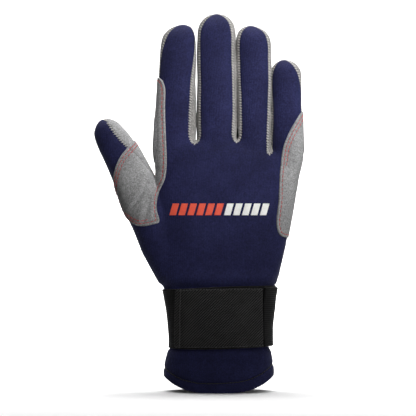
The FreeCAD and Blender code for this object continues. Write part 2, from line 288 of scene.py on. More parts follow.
def thumb_tube():
    """The thumb's form, with its sections square to its curved middle line."""
    middles = np.array([m for m, _, _ in THUMB])
    sizes = np.array([(w, d) for _, w, d in THUMB])
    run = np.concatenate([[0], np.cumsum(np.linalg.norm(np.diff(middles, axis=0), axis=1))])
    at = np.linspace(0, run[-1], THUMB_RINGS)
    line = np.stack([eased(at, run, middles[:, k]) for k in range(3)], 1)
    width, depth = eased(at, run, sizes[:, 0]), eased(at, run, sizes[:, 1])
    rings = []
    for i, point in enumerate(line):
        along = unit(line[min(i + 1, THUMB_RINGS - 1)] - line[max(i - 1, 0)])
        across = unit(np.array([along[2], 0, -along[0]]))
        rings.append(ring_points(point, across, -np.cross(along, across), max(width[i], SHRINK + 0.3),
                                 max(depth[i], SHRINK + 0.3), THUMB_POWER))
    return tube(rings)


def rough_form():
    """All tubes made into one closed mesh, then read back as arrays."""
    points, faces = joined([hand_tube(), thumb_tube()] + [finger_tube(f) for f in FINGERS.values()])
    mesh = bpy.data.meshes.new("rough")
    mesh.from_pydata((points * MM).tolist(), [], faces)
    rough = bpy.data.objects.new("rough", mesh)
    bpy.context.scene.collection.objects.link(rough)
    remesh = rough.modifiers.new("voxels", "REMESH")
    remesh.mode = "VOXEL"
    remesh.voxel_size = VOXEL * MM
    evaluated = rough.evaluated_get(bpy.context.evaluated_depsgraph_get())
    made = evaluated.to_mesh()
    made.calc_loop_triangles()
    v = np.zeros(len(made.vertices) * 3)
    made.vertices.foreach_get("co", v)
    t = np.zeros(len(made.loop_triangles) * 3, int)
    made.loop_triangles.foreach_get("vertices", t)
    evaluated.to_mesh_clear()
    bpy.data.objects.remove(rough)
    bpy.data.meshes.remove(mesh)
    return v.reshape(-1, 3) / MM, t.reshape(-1, 3)


# ---------------------------------------------------------------- a mesh that can be cut
def directed_edges(tris):
    return np.concatenate([tris[:, [0, 1]], tris[:, [1, 2]], tris[:, [2, 0]]])


class Skin:
    """Triangles with a table of values per vertex: x, y, z first, then any named field."""

    def __init__(self, points, tris):
        self.names = ["x", "y", "z"]
        self.m = np.asarray(points, float)
        self.t = np.asarray(tris, int)

    def __getitem__(self, name):
        return self.m[:, self.names.index(name)]

    @property
    def points(self):
        return self.m[:, :3]

    def copy(self):
        out = Skin(self.m.copy(), self.t.copy())
        out.names = list(self.names)
        return out

    def vector(self, letter):
        """Three fields as rows of vectors: n is the direction out, l the place on the inner face."""
        return np.stack([self[letter + k] for k in "xyz"], 1)

    def set_vector(self, letter, vectors):
        for k, name in enumerate("xyz"):
            self.set(letter + name, vectors[:, k])

    def set(self, name, values):
        if name in self.names:
            self.m[:, self.names.index(name)] = values
        else:
            self.names.append(name)
            self.m = np.column_stack([self.m, values])

    def normals(self):
        p, t = self.points, self.t
        face = np.cross(p[t[:, 1]] - p[t[:, 0]], p[t[:, 2]] - p[t[:, 0]])
        out = np.zeros_like(p)
        for k in range(3):
            np.add.at(out, t[:, k], face)
        return unit(out)

    def sides(self):
        """Each triangle's three edges, with the lower vertex first."""
        return np.sort(directed_edges(self.t), axis=1)

    def smoothed(self, values, rounds, amount=0.5):
        """values averaged with the neighbours' again and again."""
        e = np.unique(self.sides(), axis=0)
        count = np.bincount(e.ravel(), minlength=len(self.m)).reshape(-1, 1)
        values = np.asarray(values, float).reshape(len(self.m), -1)
        for _ in range(rounds):
            total = np.zeros_like(values)
            for k in range(values.shape[1]):
                total[:, k] = (np.bincount(e[:, 0], values[e[:, 1], k], len(self.m))
                               + np.bincount(e[:, 1], values[e[:, 0], k], len(self.m)))
            values = values + amount * (total / np.maximum(count, 1) - values)
        return values

    def split(self, field, level=0.0):
        """Adds an edge loop where the field crosses level."""
        f = self[field] - level
        f = np.where(np.abs(f) < 1e-6, 1e-6, f)
        up = f > 0
        kind = up[self.t].sum(1)
        whole = self.t[(kind == 0) | (kind == 3)]
        cut = self.t[(kind == 1) | (kind == 2)]
        if not len(cut):
            return self
        lone = np.argmax(up[cut] == (up[cut].sum(1) == 1)[:, None], axis=1)
        rows = np.arange(len(cut))
        p, q, r = cut[rows, lone], cut[rows, (lone + 1) % 3], cut[rows, (lone + 2) % 3]
        pairs = np.sort(np.concatenate([np.stack([p, q], 1), np.stack([p, r], 1)]), axis=1)
        unique, index = np.unique(pairs, axis=0, return_inverse=True)
        index = index.ravel()
        fa, fb = f[unique[:, 0]], f[unique[:, 1]]
        t = (fa / (fa - fb))[:, None]
        fresh = self.m[unique[:, 0]] * (1 - t) + self.m[unique[:, 1]] * t
        base = len(self.m)
        i, j = base + index[:len(cut)], base + index[len(cut):]
        self.m = np.concatenate([self.m, fresh])
        self.t = np.concatenate([whole] + [np.stack(k, 1) for k in ((p, i, j), (i, q, r), (i, r, j))])
        return self

    def part(self, keep):
        """The triangles picked by a mask, with only their own vertices."""
        tris = self.t[keep]
        used, index = np.unique(tris, return_inverse=True)
        out = Skin(self.m[used], index.reshape(-1, 3))
        out.names = list(self.names)
        return out

    def refine(self):
        """Cuts every triangle into four."""
        unique, index = np.unique(self.sides(), axis=0, return_inverse=True)
        index = index.ravel() + len(self.m)
        self.m = np.concatenate([self.m, (self.m[unique[:, 0]] + self.m[unique[:, 1]]) / 2])
        n = len(self.t)
        ab, bc, ca = index[:n], index[n:2 * n], index[2 * n:]
        a, b, c = self.t.T
        corners = ((a, ab, ca), (ab, b, bc), (ca, bc, c), (ab, bc, ca))
        self.t = np.concatenate([np.stack(k, 1) for k in corners])

    def share(self, field):
        """The field at each triangle's middle."""
        return self[field][self.t].mean(1)

    def above(self, field, level=0.0):
        self.split(field, level)
        return self.part(self.share(field) > level)

    def contours(self, field, level=0.0):
        """The lines where the field crosses level, each an array of vertex values in order."""
        f = self[field] - level
        f = np.where(np.abs(f) < 1e-6, 1e-6, f)
        up = f > 0
        tris = self.t[(up[self.t].sum(1) % 3) != 0]
        links = {}
        for tri in tris:
            keys = []
            for a, b in ((tri[0], tri[1]), (tri[1], tri[2]), (tri[2], tri[0])):
                if up[a] != up[b]:
                    keys.append((min(a, b), max(a, b)))
            if len(keys) == 2:
                links.setdefault(keys[0], []).append(keys[1])
                links.setdefault(keys[1], []).append(keys[0])
        lines, seen = [], set()
        for begin in sorted(links, key=lambda k: len(links[k])):
            if begin in seen:
                continue
            chain, here = [begin], begin
            seen.add(begin)
            while True:
                ahead = [k for k in links[here] if k not in seen]
                if not ahead:
                    break
                here = ahead[0]
                seen.add(here)
                chain.append(here)
            if len(chain) > 3:
                if begin in links[here] and len(chain) > 4:
                    chain.append(begin)
                a, b = np.array(chain).T
                t = (f[a] / (f[a] - f[b]))[:, None]
                lines.append(self.m[a] * (1 - t) + self.m[b] * t)
        return lines


def make_skin():
    """The glove's outer skin at full size, smooth and still closed; its cuff's mouth is cut open
    afterwards.
    """
    skin = Skin(*rough_form())
    skin.m = skin.smoothed(skin.m, 6)
    for _ in range(3):
        skin.m = skin.m + unit(skin.smoothed(skin.normals(), 2)) * SHRINK / 3
    skin.m = skin.smoothed(skin.m, 2, 0.4)
    return skin


# ---------------------------------------------------------------- pattern lines, seen from the front
HAND_BACK = [
    (-104, -20), (-104, 186), (-78.4, 183.7), (-74.6, 178.7), (-69.9, 171.7), (-65.9, 167.0),
    (-61.0, 161.9), (-54.5, 155.7), (-47.5, 147.0), (-43.5, 145.5), (-41.5, 163.7), (29.6, 163.7),
    (30.4, 157.3), (76, 157.3), (76, -20),
]
FINGER_BACKS = {
    "index": [(-20.8, 140), (-20.8, 155), (-20.7, 172), (-20.2, 190), (-19.2, 206), (-17.8, 219),
              (-16.7, 230), (-16.9, 238), (-19.2, 243), (-24.0, 246.0), (-29.5, 243.4), (-34.0, 239.0),
              (-37.2, 231), (-39.2, 219), (-40.4, 205), (-40.8, 190), (-40.8, 155), (-40.8, 140)],
    "middle": [(8.0, 140), (8.1, 155), (8.2, 172), (8.8, 186), (8.4, 209), (8.0, 230), (7.4, 240),
               (5.2, 247.5), (-1.8, 252.2), (-8.3, 249.2), (-12.2, 243), (-13.2, 236), (-13.1, 220),
               (-12.8, 200), (-12.6, 172), (-12.6, 155), (-12.6, 140)],
    "ring": [(30.9, 140), (30.9, 155), (31.1, 164), (31.8, 180), (32.2, 200), (32.5, 222), (32.2, 232),
             (29.4, 239.5), (20.4, 243.9), (16.2, 241.5), (13.9, 237), (13.0, 228), (13.4, 214),
             (14.0, 196), (14.3, 180), (14.3, 168), (14.3, 155), (14.3, 140)],
    "little": [(54.0, 140), (53.9, 155), (53.9, 170), (54.2, 190), (53.8, 204), (51.4, 213),
               (47.2, 219), (42.5, 221.2), (38.8, 219.2), (36.1, 214), (35.2, 205), (35.4, 185),
               (35.2, 168), (34.8, 155), (34.8, 140)],
}
WEB_PATCH = [
    (-40.1, 112.6), (-44.6, 111.0), (-50.8, 109.8), (-56.9, 111.2), (-62.0, 116.3), (-66.0, 123.7),
    (-69.0, 131.7), (-70.5, 140.0), (-69.6, 147.9), (-66.1, 156.0), (-61.5, 161.9), (-54.5, 170.0),
    (-49.0, 172.0), (-49.0, 190.0), (-48.0, 204.0), (-43.5, 209.8), (-38.9, 207.6), (-36.5, 202.0),
    (-36.3, 188.0), (-35.7, 168.0), (-35.2, 152.0), (-36.2, 141.5), (-39.6, 133.8), (-41.4, 128.5),
    (-41.6, 120.5),
]
LITTLE_PATCH = [
    (57.0, 187.5), (53.4, 184.8), (49.4, 178.5), (46.0, 172.4), (42.0, 162.2), (40.1, 148.9),
    (39.2, 136.7), (38.8, 126.5), (37.5, 116.3), (37.6, 109.1), (39.8, 104.0), (43.9, 102.3),
    (49.5, 102.8), (58.0, 108.0), (63.0, 136.0), (63.0, 176.0),
]
PALM_PATCHES = {
    "palm_patch_heel": [(-34, 84), (-8, 78), (22, 80), (37, 92), (36, 112), (8, 118), (-22, 112)],
    "palm_patch_knuckle": [(-30, 132), (0, 128), (32, 130), (36, 142), (32, 152), (2, 155), (-30, 153)],
}
WEB_OPEN_Z = 146.0      # above this the web patch runs round to the palm
ROW_SINK, ROW_WIDTH = 0.34, 0.42   # the groove that a row of stitches pulls into a patch
PATCH_ROOT = 0.25       # how far a patch's inner face lies under the skin
SEAM_OUT = 0.55         # the finger seams run this far outside the visible navy
BACK_WRAP = 2.0         # how far the navy back reaches past the middle of the hand's edge
SIDE_HALF = 4.2         # half width of the grey side strips
STRAP_LOW = 29.3
STRAP_HIGH = 69.6
CUFF_JOIN = 49.5
HEM_HEIGHT = 6.6
HEM_TILT = 0.028        # the hem is this much deeper towards the right, per mm
CREASES = [             # start and end as x and z, half width, depth
    ((-46.5, 141.0), (-61.0, 119.0), 1.5, 1.25),
    ((-48.5, 143.0), (-66.0, 130.0), 1.4, 0.95),
    ((-45.0, 139.0), (-52.0, 108.0), 1.7, 0.9),
    ((-44.0, 137.0), (-43.5, 112.0), 1.5, 0.7),
    ((-38.0, 77.0), (10.0, 74.5), 2.4, 0.55),
    ((6.0, 80.0), (42.0, 84.0), 3.0, 0.45),
    ((-52.0, 99.0), (-36.0, 92.0), 3.0, 0.5),
    ((-30.0, 22.0), (20.0, 18.0), 3.5, 0.4),
]
FINGER_NAMES = list(FINGERS)
# The lines between the fingers: x at the crotches and at the top
LANE_EDGES = [(-55.0, -55.0), (-15.4, -15.5), (11.75, 10.7), (34.4, 34.4), (80.0, 80.0)]
LANE_LENGTH = 75.0      # the height from the crotches, where a lane's edge starts, to where it ends
LANE_OVER_TIP = 2.6     # how far the ring finger's edge runs over the little finger's tip
MIDDLE_JOINTS = {f: joint(f + "_middle_joint") for f in FINGERS}
END_JOINTS = {f: joint(f + "_end_joint") for f in FINGERS}
THUMB_JOINT = joint("thumb_end_joint")
THUMB_LINE = Vector((-0.504, 0.0, 0.864)).normalized()
THUMB_RADIUS = 18.0     # cloth within this of the thumb's line is the thumb's
THUMB_BEND_HALF = 11.0  # the thumb bends over this length on each side of its joint
BEND_HALF = 11.0        # and a finger over this, or less where its two joints are close
LOWER_FROM = 12.0       # the middle length's cover starts this far below its joint


def cover_split(name):
    """Height where a finger's middle cover ends and its tip cover starts, between the two bends."""
    return (MIDDLE_JOINTS[name].z + END_JOINTS[name].z) / 2


def lane_edge(k, z):
    """Where a line between two fingers is at height z."""
    low, high = LANE_EDGES[k]
    share = np.clip((np.asarray(z) - CROTCH_Z) / LANE_LENGTH, 0, 1)
    little_top = FINGERS["little"]["top"]
    over_tip = LANE_OVER_TIP * step(z, little_top - 11.8, little_top + 0.2) if k == 3 else 0
    return low + (high - low) * share + over_tip


def in_lane(name, x, z):
    """Whether points belong to one finger: between the lines on its two sides."""
    k = FINGER_NAMES.index(name)
    return (x > lane_edge(k, z)) & (x <= lane_edge(k + 1, z))


def bend_half(name):
    """Half the length over which a finger bends, so that its two bends never meet."""
    return min(BEND_HALF, (END_JOINTS[name].z - MIDDLE_JOINTS[name].z) / 2 - 0.3)


def hem_height(x):
    """The cuff's lower edge, rounded up at both sides."""
    return HEM_RISE * (np.abs(np.asarray(x) - HEM_MIDDLE) / HEM_REACH) ** 3


def resampled(line, spacing):
    """A line of value rows walked at even spacing."""
    run = np.concatenate([[0], np.cumsum(np.linalg.norm(np.diff(line[:, :3], axis=0), axis=1))])
    count = max(2, int(round(run[-1] / spacing)) + 1)
    at = np.linspace(0, run[-1], count)
    return np.stack([np.interp(at, run, line[:, k]) for k in range(line.shape[1])], 1)


def surface_distance(skin, name, reach=9.0, spacing=0.3):
    """Turns a field near where it crosses nought into signed distance from there."""
    points = np.concatenate([resampled(line[:, :3], spacing) for line in skin.contours(name)])
    tree = KDTree(len(points))
    for i, point in enumerate(points):
        tree.insert(point, i)
    tree.balance()
    field = skin[name].copy()
    for i in np.where(np.abs(field) < reach)[0]:
        field[i] = math.copysign(tree.find(skin.points[i])[2], field[i])
    skin.set(name, field)


def set_zones(skin):
    """Fields whose crossings cut the layers at the joints."""
    x, z = skin["x"], skin["z"]
    lower, tip = np.full((2, len(x)), -5.0)
    for name in FINGER_NAMES:
        lane = in_lane(name, x, z)
        lower[lane] = z[lane] - (MIDDLE_JOINTS[name].z - LOWER_FROM)
        tip[lane] = z[lane] - cover_split(name)
    skin.set("lower", lower)
    skin.set("tip", tip)
    away = skin.points - np.array(THUMB_JOINT)
    along = away @ THUMB_LINE
    across = np.linalg.norm(away - np.outer(along, THUMB_LINE), axis=1)
    skin.set("thumb", np.minimum(along + THUMB_BEND_HALF, THUMB_RADIUS - across))


def set_patterns(skin):
    """Fields that are positive on the navy back, on the palm and on each patch."""
    x, y, z = skin["x"], skin["y"], skin["z"]
    rows = np.array([m for m, _, _ in THUMB])
    on_thumb = step(-x, 42, 48) * step(z, 105, 120)
    depth = y - lean(z) * (1 - on_thumb) - eased(z, rows[:, 2], rows[:, 1]) * on_thumb
    fingers = np.full(len(x), -50.0)
    for outline in FINGER_BACKS.values():
        fingers = np.maximum(fingers, inside_distance(x, z, rounded(outline)) + SEAM_OUT)
    hand = inside_distance(x, z, HAND_BACK)
    fillet = np.where(x > 22, 3.0, 8.5)     # how softly the finger seams run into each other
    flat = np.maximum(hand, fingers)
    flat = flat + fillet / 4 * (np.maximum(fillet - np.abs(hand - fingers), 0) / fillet) ** 2 * (x > -30)
    thumb = (x < THUMB_SIDE_X) & (z > THUMB_CLEAR_Z)
    back_limit = BACK_WRAP * (1 - np.where(thumb, 0, step(z, KNUCKLE_Z, KNUCKLE_Z + 10)))
    navy = np.minimum(flat, back_limit - depth)
    side = BACK_WRAP + (SIDE_HALF - BACK_WRAP) * step(z, KNUCKLE_Z, CROTCH_Z)
    skin.set("navy", navy)
    skin.set("palm", np.where(thumb, -navy, depth - side))
    web = inside_distance(x, z, rounded(WEB_PATCH))
    web_limit = BACK_WRAP + 60 * step(z, WEB_OPEN_Z - 2, WEB_OPEN_Z + 8)
    skin.set("web", np.minimum(web, web_limit - depth))
    skin.set("little", inside_distance(x, z, rounded(LITTLE_PATCH)))
    for name, outline in PALM_PATCHES.items():
        skin.set(name, np.where(depth > 3, inside_distance(x, z, rounded(outline)), OUTSIDE))
    skin.set("cuff", CUFF_JOIN - z)
    skin.set("hem", hem_height(x) + HEM_HEIGHT + HEM_TILT * x - z)


SEAM_SINK, PALM_SEAM_SINK, SEAM_WIDTH = 0.8, 0.35, 0.85
HEM_SINK = 0.95
STRAP_PRESS = 1.3
WAVES = (               # direction with its pace per mm, size, phase
    ((0.11, 0.07, 0.05), 0.16, 0.3), ((-0.06, 0.1, 0.13), 0.16, 1.9),
    ((0.21, 0.13, -0.17), 0.08, 4.1), ((0.05, -0.2, 0.29), 0.07, 2.2),
)
# Levels of each field where the mesh gets an edge loop, so that grooves and rims stay crisp
SEAM_LEVELS = (-0.9, -0.4, 0.0, 0.4, 0.9)
FIRST_ROW, SECOND_ROW = 2.0, 3.9
PALM_PATCH_LEVELS = (0.0, 0.12, 0.3, 0.6, 1.6, FIRST_ROW, 2.4)
PATCH_LEVELS = (*PALM_PATCH_LEVELS, 3.5, SECOND_ROW, 4.3)


def moved(skin):
    """How far each point moves out: sunk seams, the strap's press, creases and soft waves."""
    x, y, z = skin["x"], skin["y"], skin["z"]
    out = -SEAM_SINK * bell(skin["navy"], 0, SEAM_WIDTH) * step(z, 60, 90)
    out -= PALM_SEAM_SINK * bell(skin["palm"], 0, SEAM_WIDTH) * step(z, 158, 166) * (x > THUMB_SIDE_X)
    out -= HEM_SINK * bell(skin["hem"], 0, 1.0)
    under = step(z, STRAP_LOW - 3.0, STRAP_LOW + 0.5) * (1 - step(z, STRAP_HIGH - 0.5, STRAP_HIGH + 3.2))
    bulge = 1.9 * bell(z, STRAP_HIGH + 6.4, 3.3) + 0.7 * bell(z, STRAP_LOW - 6, 3)
    out += bulge * step(np.abs(y), 5, 14) - STRAP_PRESS * under
    for (ax, az), (bx, bz), width, deep in CREASES:
        dx, dz = bx - ax, bz - az
        length = math.hypot(dx, dz)
        along = ((x - ax) * dx + (z - az) * dz) / length
        off = ((x - ax) * dz - (z - az) * dx) / length + 1.2 * np.sin(along / length * 3.0)
        ends = step(along, -3, 6) * (1 - step(along, length - 8, length + 3))
        valley = bell(off, 0, width) - 0.45 * bell(off, 1.9 * width, width)
        out -= deep * valley * ends * (y < 4)
    for direction, size, phase in WAVES:
        out += size * np.sin(skin.points @ np.array(direction) + phase)
    return out


def dressed_skin():
    """The whole skin with its pattern lines cut in, moved into its final shape."""
    skin = make_skin()
    skin.set("mouth", skin["z"] - hem_height(skin["x"]))
    skin = skin.above("mouth")
    set_patterns(skin)
    for name in ("navy", "palm", "web", "little", *PALM_PATCHES):
        surface_distance(skin, name)
    set_zones(skin)
    for names, levels in ((("navy", "palm"), SEAM_LEVELS), (("web", "little"), PATCH_LEVELS),
                          (PALM_PATCHES, PALM_PATCH_LEVELS), (("hem",), (-0.5, 0.0, 0.5)),
                          (("lower", "tip", "thumb", "cuff"), (0.0,))):
        for name in names:
            for level in levels:
                skin.split(name, level)
    out = unit(skin.smoothed(skin.normals(), 3))
    skin.m[:, :3] += out * moved(skin)[:, None]
    n = skin.normals()
    skin.set_vector("n", n)
    skin.set_vector("l", skin.points - unit(skin.smoothed(n, 8)) * WALL)
    return skin


def inner_row(points, name):
    """Where a patch has its second row of stitches."""
    if name == "web":
        return (points[:, 0] < THUMB_SIDE_X - 0.5) | (points[:, 2] < 113)
    return points[:, 2] > 151


def raised(skin, name, height, rows=(), edge=0.6):
    """The region where a field is positive, lifted off the skin with a rounded edge and sunk rows."""
    layer = skin.above(name)
    d, n = layer[name], layer.vector("n")
    t = np.clip(d / edge, 0, 1)
    rise = height * np.sqrt(np.maximum(1 - (1 - t) ** 2, 0)) + 0.02
    for k, row in enumerate(rows):
        here = inner_row(layer.points, name) if k else 1.0
        rise -= ROW_SINK * bell(d, row, ROW_WIDTH) * here
    layer.set_vector("l", layer.points - n * PATCH_ROOT)
    layer.m[:, :3] += n * rise[:, None]
    layer.set_vector("n", layer.normals())
    return layer


# ---------------------------------------------------------------- materials
TWILL_PITCH = 1.3       # the tab's diagonal ridges
DASH_PITCH = 1.1        # the weak breaks along them
RIB_PITCH = 1.3         # the elastic band's ribs


class Shade:
    """Builds one material from nodes. Patterns are laid out on the rest shape, in millimetres."""

    def __init__(self, name, roughness, sheen=0.0, sheen_roughness=0.5, specular=0.25):
        self.material = bpy.data.materials.new(name)
        self.material.use_nodes = True
        self.tree = self.material.node_tree
        self.shader = self.tree.nodes["Principled BSDF"]
        for socket, value in (("Roughness", roughness), ("Sheen Weight", sheen),
                              ("Sheen Roughness", sheen_roughness), ("Specular IOR Level", specular)):
            self.shader.inputs[socket].default_value = value
        self.place = self.node("ShaderNodeAttribute", attribute_name="rest").outputs["Vector"]

    def node(self, kind, **settings):
        made = self.tree.nodes.new(kind)
        for key, value in settings.items():
            setattr(made, key, value)
        return made

    def link(self, source, target):
        self.tree.links.new(source, target)

    def math(self, operation, a, b=0.0):
        made = self.node("ShaderNodeMath", operation=operation)
        for value, socket in zip((a, b), made.inputs):
            if hasattr(value, "is_output"):
                self.link(value, socket)
            else:
                socket.default_value = value
        return made.outputs[0]

    def noise(self, size, detail=2.0, stretch=(1, 1, 1)):
        """Noise between 0 and 1 with features about size millimetres across."""
        mapped = self.node("ShaderNodeMapping")
        mapped.inputs["Scale"].default_value = [s / size for s in stretch]
        self.link(self.place, mapped.inputs["Vector"])
        made = self.node("ShaderNodeTexNoise")
        made.inputs["Scale"].default_value = 1.0
        made.inputs["Detail"].default_value = detail
        self.link(mapped.outputs["Vector"], made.inputs["Vector"])
        return made.outputs["Fac"]

    def ribs(self, direction, pitch, phase=0.0):
        """Sine between 0 and 1 across parallel ribs."""
        dot = self.node("ShaderNodeVectorMath", operation="DOT_PRODUCT")
        self.link(self.place, dot.inputs[0])
        dot.inputs[1].default_value = Vector(direction).normalized() * (2 * math.pi / pitch)
        wave = self.math("SINE", self.math("ADD", dot.outputs["Value"], phase))
        return self.math("ADD", self.math("MULTIPLY", wave, 0.5), 0.5)

    def ramp(self, factor, stops):
        made = self.node("ShaderNodeValToRGB")
        elements = made.color_ramp.elements
        while len(elements) < len(stops):
            elements.new(0.5)
        for element, (at, colour) in zip(elements, stops):
            element.position = at
            element.color = (*colour, 1)
        self.link(factor, made.inputs["Fac"])
        return made.outputs["Color"]

    def shaded(self, colour, factor, low, high):
        """colour times a grey that runs from low to high with factor."""
        grey = self.ramp(factor, [(0.25, (low,) * 3), (0.75, (high,) * 3)])
        made = self.node("ShaderNodeVectorMath", operation="MULTIPLY")
        self.link(colour, made.inputs[0])
        self.link(grey, made.inputs[1])
        return made.outputs["Vector"]

    def finish(self, colour, heights):
        """heights: (factor, depth in millimetres) for each layer of bump."""
        self.link(colour, self.shader.inputs["Base Color"])
        normal = None
        for factor, depth in heights:
            bump = self.node("ShaderNodeBump")
            bump.inputs["Distance"].default_value = depth * MM
            self.link(factor, bump.inputs["Height"])
            if normal:
                self.link(normal, bump.inputs["Normal"])
            normal = bump.outputs["Normal"]
        if normal:
            self.link(normal, self.shader.inputs["Normal"])
        return self.material


def tints(shade, colours, size):
    """Slow drift between colours."""
    last = len(colours) - 1
    stops = [(0.32 + 0.36 * i / last, c) for i, c in enumerate(colours)]
    return shade.ramp(shade.noise(size, 3.0), stops)


def scaled(colour, amount):
    """The colour made darker or lighter."""
    return tuple(c * amount for c in colour)


def neoprene_material():
    s = Shade("navy_neoprene", 0.8, 0.05, 0.4, 0.12)
    colour = tints(s, [(0.0109, 0.0119, 0.0440), (0.0137, 0.0149, 0.0550), (0.0170, 0.0185, 0.0665)], 22)
    wales, courses = s.ribs((1, 0.55, 0), 0.95), s.ribs((0, 0.2, 1), 0.8)
    knit = s.math("MULTIPLY", wales, courses)
    fuzz = s.noise(1.0, 4.0)
    colour = s.shaded(colour, knit, 0.84, 1.14)
    colour = s.shaded(colour, fuzz, 0.62, 1.38)
    colour = s.shaded(colour, s.noise(3.0, 3.0), 0.88, 1.12)
    return s.finish(colour, [(s.noise(3.2, 2.0), 0.22), (knit, 0.07), (fuzz, 0.10)])


def suede_material(name, colours):
    s = Shade(name, 0.9, 0.08, 0.5, 0.15)
    colour = tints(s, colours, 14)
    fine, middle = s.noise(0.85, 4.0), s.noise(2.2, 3.0)
    colour = s.shaded(colour, fine, 0.52, 1.48)
    colour = s.shaded(colour, middle, 0.86, 1.14)
    return s.finish(colour, [(middle, 0.22), (fine, 0.16)])


def thread_material(name, colour):
    s = Shade(name, 0.62, 0.2)
    plies = s.ribs((1, 0.4, 0.8), 0.42)
    base = tints(s, [scaled(colour, 0.9), scaled(colour, 1.1)], 4)
    return s.finish(s.shaded(base, plies, 0.72, 1.15), [(plies, 0.08)])


def elastic_material():
    s = Shade("strap_elastic", 0.8, 0.05, 0.5, 0.1)
    ribs, picks = s.ribs((0, 0, 1), RIB_PITCH), s.ribs((1, 0.7, 0), 0.75)
    weave = s.math("MULTIPLY", ribs, s.math("ADD", s.math("MULTIPLY", picks, 0.5), 0.5))
    colour = tints(s, [(0.0075, 0.0075, 0.008), (0.0105, 0.0105, 0.011)], 12)
    return s.finish(s.shaded(colour, weave, 0.6, 1.5), [(weave, 0.25), (s.noise(0.4), 0.05)])


def tape_material(name, bright):
    s = Shade(name, 0.72, 0.05, 0.5, 0.12)
    across, along = s.ribs((1, 0, -1), TWILL_PITCH, math.pi / 2), s.ribs((1, 0, 1), DASH_PITCH, math.pi / 2)
    weave = s.math("MULTIPLY", across, s.math("ADD", s.math("MULTIPLY", along, 0.25), 0.75))
    colour = tints(s, [(0.0085 * bright,) * 3, (0.0115 * bright,) * 3], 7)
    # Painted highlight and painted shade: the colour is lifted up to 3.1 times on the twill's ridge tops
    # and dropped to 0.2 times in its grooves, where light and shade would fall.
    colour = s.shaded(colour, weave, 0.2, 3.1)
    return s.finish(s.shaded(colour, s.noise(0.6, 3.0), 0.7, 1.3), [(weave, 0.12), (s.noise(0.5), 0.08)])


def print_material(name, colour):
    s = Shade(name, 0.42)
    base = tints(s, [scaled(colour, 0.93), scaled(colour, 1.04)], 3)
    grain = s.noise(0.7, 3.0)
    return s.finish(s.shaded(base, grain, 0.94, 1.03), [(grain, 0.06), (s.ribs((1, 0, 0), 0.95), 0.03)])


NAVY = neoprene_material()
SUEDE = suede_material("grey_suede", [
    (0.225, 0.225, 0.227), (0.255, 0.255, 0.257), (0.285, 0.285, 0.287)])
GUSSET = suede_material("grey_suede_sides", [
    (0.185, 0.179, 0.172), (0.220, 0.213, 0.205), (0.255, 0.247, 0.238)])
WHIP = thread_material("whip_thread", (0.50, 0.485, 0.46))
RED = thread_material("red_thread", (0.42, 0.055, 0.055))
DARK = thread_material("black_thread", (0.005, 0.005, 0.006))
TAPE_THREAD = thread_material("tape_thread", (0.035, 0.035, 0.036))
ELASTIC = elastic_material()
WEBBING = tape_material("strap_webbing", 1.2)
CLOSURE = tape_material("closure_tape", 0.8)
CORAL = print_material("coral_print", (0.80, 0.105, 0.06))
WHITE = print_material("white_print", (0.82, 0.82, 0.79))


# ---------------------------------------------------------------- making objects
def new_object(name, points, faces, normals, material):
    """A mesh object from points in mm. normals has one row per face corner, or is None."""
    mesh = bpy.data.meshes.new(name)
    mesh.from_pydata((points * MM).tolist(), [], faces)
    mesh.attributes.new("rest", "FLOAT_VECTOR", "POINT").data.foreach_set("vector", points.ravel())
    mesh.polygons.foreach_set("use_smooth", [True] * len(mesh.polygons))
    mesh.materials.append(material)
    if normals is not None:
        mesh.normals_split_custom_set(normals.tolist())
    made = bpy.data.objects.new(name, mesh)
    bpy.context.scene.collection.objects.link(made)
    return made


def border(tris):
    """Directed edges with a triangle on one side only."""
    e = directed_edges(tris)
    size = tris.max() + 1
    keys, back = e[:, 0] * size + e[:, 1], e[:, 1] * size + e[:, 0]
    return e[~np.isin(keys, back)]


def closed_object(name, part, material):
    """A piece of a layer with its own thickness: outer face, inner face and rims."""
    n = unit(part.vector("n"))
    count = len(n)
    a, b = border(part.t).T
    rim = np.concatenate([np.stack([b, a, a + count], 1), np.stack([b, a + count, b + count], 1)])
    points = np.concatenate([part.points, part.vector("l")])
    faces = np.concatenate([part.t, part.t[:, ::-1] + count, rim])
    flat = unit(np.cross(points[rim[:, 1]] - points[rim[:, 0]], points[rim[:, 2]] - points[rim[:, 0]]))
    corner = np.concatenate([n[part.t].reshape(-1, 3), -n[part.t[:, ::-1]].reshape(-1, 3),
                             np.repeat(flat, 3, axis=0)])
    return new_object(name, points, faces.tolist(), corner, material)


def attach(made, zone):
    """Makes an object follow the hand's body when its zone is the hand; for any other zone it only bakes
    the object's transform in place.
    """
    if zone == "hand":
        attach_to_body(made, "hand")
    elif zone == "thumb":
        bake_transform(made)
    else:
        finger, length = zone.rsplit("_", 1)
        half = Vector((0, 0, bend_half(finger)))
        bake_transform(made)
    return made


def zone_masks(layer):
    """Each zone's name with the mask of a layer's triangles in it."""
    lower, tip, thumb = (layer.share(k) for k in ("lower", "tip", "thumb"))
    x, z = layer.share("x"), layer.share("z")
    yield "hand", (lower < 0) & (thumb < 0)
    yield "thumb", thumb > 0
    for name in FINGER_NAMES:
        lane = in_lane(name, x, z)
        yield name + "_lower", lane & (lower > 0) & (tip < 0)
        yield name + "_tip", lane & (tip > 0)


def add_pieces(layer, names, material, slot, keep=True):
    """One object per zone of a layer. names gives each zone's object name and the CAD nodes it is."""
    for zone, mask in zone_masks(layer):
        chosen = mask & keep
        if chosen.sum() < 4:
            continue
        name, nodes = names(zone)
        made = attach(closed_object(name, layer.part(chosen), material), zone)
        if nodes:
            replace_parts(made, *nodes)


